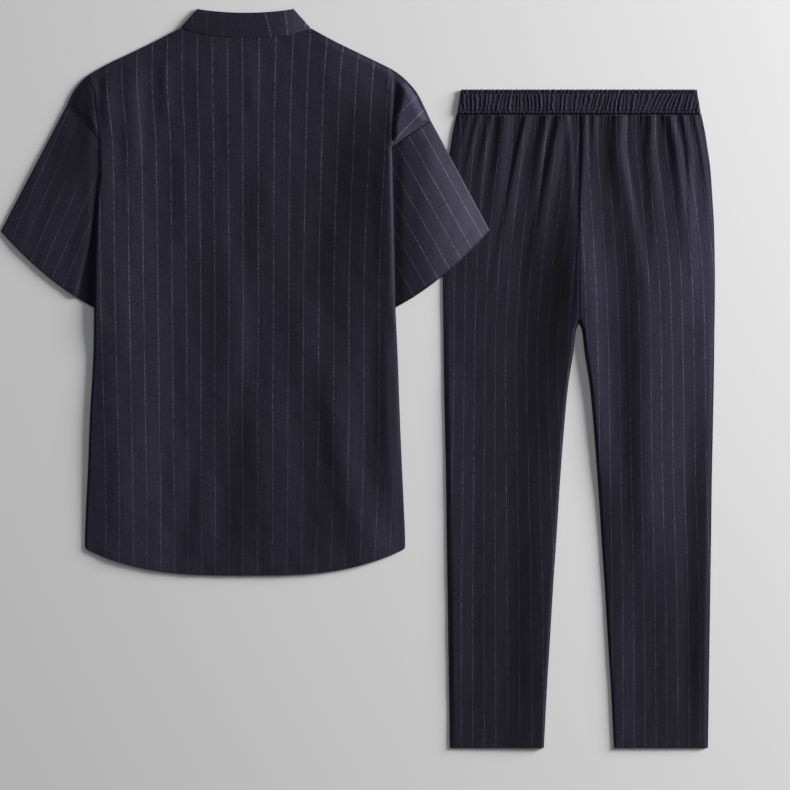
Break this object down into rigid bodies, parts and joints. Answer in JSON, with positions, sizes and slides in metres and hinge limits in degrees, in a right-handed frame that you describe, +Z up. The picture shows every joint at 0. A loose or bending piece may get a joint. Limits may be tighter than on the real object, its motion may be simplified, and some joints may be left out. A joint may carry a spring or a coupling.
{
  "type": "tang suit",
  "caption": "Short-sleeved tang suit of dark pinstriped cloth laid out flat, back up: stand-collar shirt beside straight trousers gathered on elastic, one sleeve over their edge.",
  "frame": {"origin": "on the surface that the suit lies on, under the middle of the whole set", "axes": "+X to the right of the set seen from above, from the shirt to the trousers; +Y towards the collar and the waistband; +Z up out of the surface"},
  "size_m": [1.0356, 1.072, 0.0089],
  "materials": {
    "suiting": "matt dark navy cloth with thin pale broken pinstripes and a faint slub",
    "button": "satin"
  },
  "bodies": {
    "root": {"shirt_back": "suiting", "shirt_front_left": "suiting", "shirt_front_right": "suiting", "collar": "suiting", "sleeve_left": "suiting", "sleeve_right": "suiting", "button_1": "button", "button_2": "button", "button_3": "button", "button_4": "button", "button_5": "button", "button_6": "button", "trouser_back_left": "suiting", "trouser_back_right": "suiting", "trouser_front_left": "suiting", "trouser_front_right": "suiting", "waistband": "suiting"}
  },
  "joints": []
}
